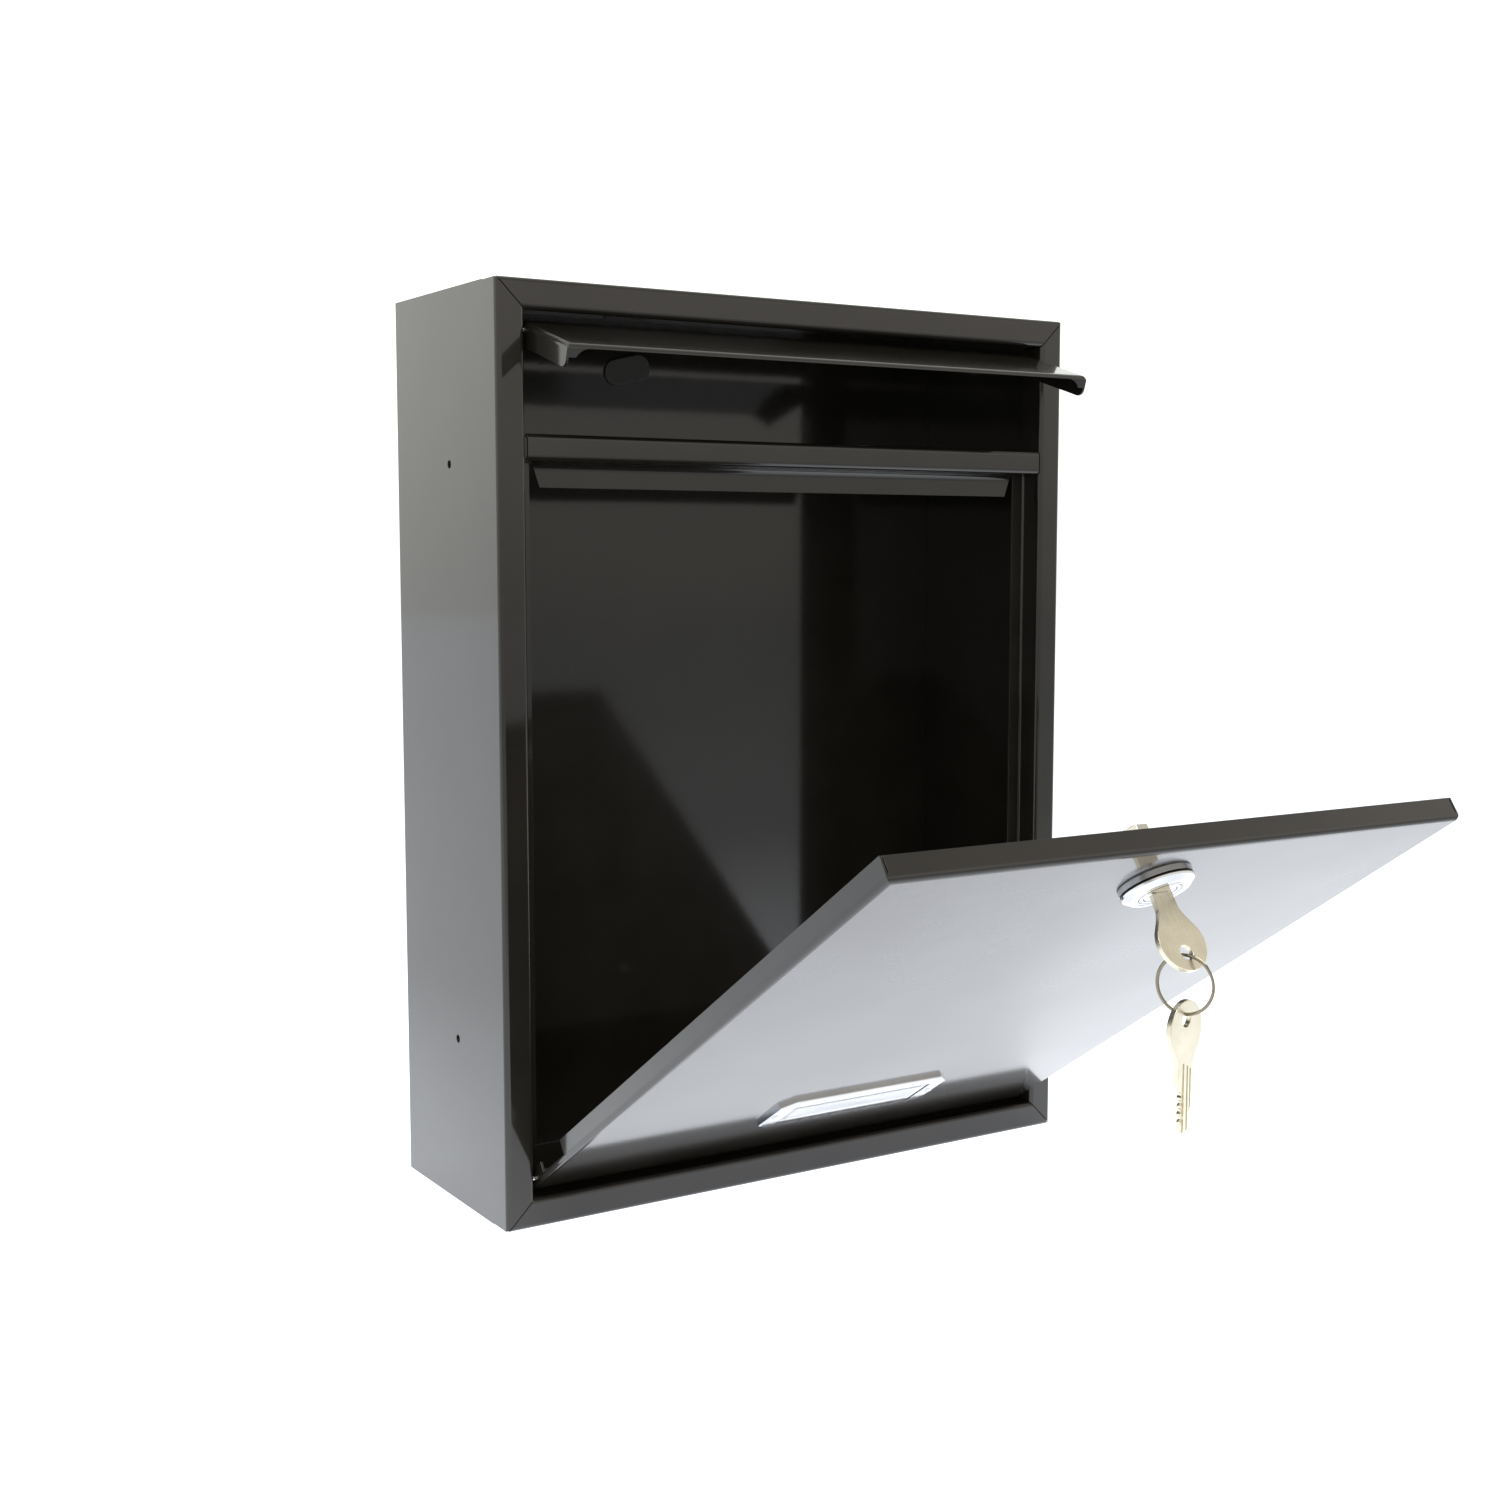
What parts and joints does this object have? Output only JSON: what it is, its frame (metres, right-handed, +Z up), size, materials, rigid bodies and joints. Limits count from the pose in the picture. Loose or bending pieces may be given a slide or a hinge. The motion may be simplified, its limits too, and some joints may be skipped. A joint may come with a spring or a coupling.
{
  "type": "wall mounted mailbox",
  "caption": "Upright wall mailbox in folded black steel with a flap-covered mail slot and a locking front door that drops open on a bottom hinge.",
  "frame": {"origin": "centre of the four wall screw holes, on the back face of the cabinet", "axes": "+Y into the wall, +X to the right as seen from the front, +Z up"},
  "size_m": [0.256, 0.3063, 0.34],
  "materials": {
    "black_steel": "glossy black powder coat",
    "zinc_steel": "bright zinc plate",
    "lock_chrome": "polished chrome",
    "holder_chrome": "polished chrome",
    "wafer_brass": "satin",
    "key_nickel": "nickel plate",
    "ring_steel": "nickel plate",
    "grey_rubber": "moulded",
    "white_card": "white card",
    "clear_window": "clear plastic window"
  },
  "bodies": {
    "cabinet": {"back_panel": "black_steel", "port_plug": "grey_rubber", "left_side_panel": "black_steel", "right_side_panel": "black_steel", "top_panel": "black_steel", "bottom_panel": "black_steel", "crossbar": "black_steel"},
    "door": {"door_panel": "black_steel", "door_hinge_pins": "zinc_steel", "lock_housing": "lock_chrome", "lock_washer": "zinc_steel", "lock_nut": "zinc_steel", "card_frame": "holder_chrome", "name_card": "white_card", "card_window": "clear_window", "card_rivets": "holder_chrome"},
    "flap": {"flap_panel": "black_steel", "flap_pivot_pins": "zinc_steel"},
    "lock_plug": {"lock_plug": "lock_chrome", "lock_wafers": "wafer_brass", "lock_cam": "zinc_steel", "cam_washer": "zinc_steel", "cam_nut": "zinc_steel"},
    "key": {"key": "key_nickel"},
    "key_ring": {"key_ring": "ring_steel"},
    "spare_key": {"spare_key": "key_nickel"}
  },
  "joints": [
    {"name": "door_hinge", "type": "hinge", "parent": "cabinet", "child": "door", "pos_m": [0, -0.088, -0.1522], "axis": [-1, 0, 0], "range_deg": [0, 56.33]},
    {"name": "flap_hinge", "type": "hinge", "parent": "cabinet", "child": "flap", "pos_m": [0, -0.0862, 0.1525], "axis": [1, 0, 0], "range_deg": [-25, 72.7]},
    {"name": "lock_turn", "type": "hinge", "parent": "door", "child": "lock_plug", "pos_m": [0, -0.28408, -0.02519], "axis": [0, -0.5544, -0.8322], "range_deg": [0, 90]},
    {"name": "key_pull", "type": "slide", "parent": "lock_plug", "child": "key", "axis": [0, -0.5544, -0.8322], "range_m": [0, 0.03]},
    {"name": "ring_swing", "type": "hinge", "parent": "key", "child": "key_ring", "pos_m": [0, -0.29744, -0.04524], "axis": [-0.9272, -0.3746, 0], "range_deg": [-4, 35]},
    {"name": "spare_key_swing", "type": "hinge", "parent": "key_ring", "child": "spare_key", "pos_m": [0, -0.29744, -0.06324], "axis": [-0.3746, 0.9272, 0], "range_deg": [-35, 35]}
  ]
}
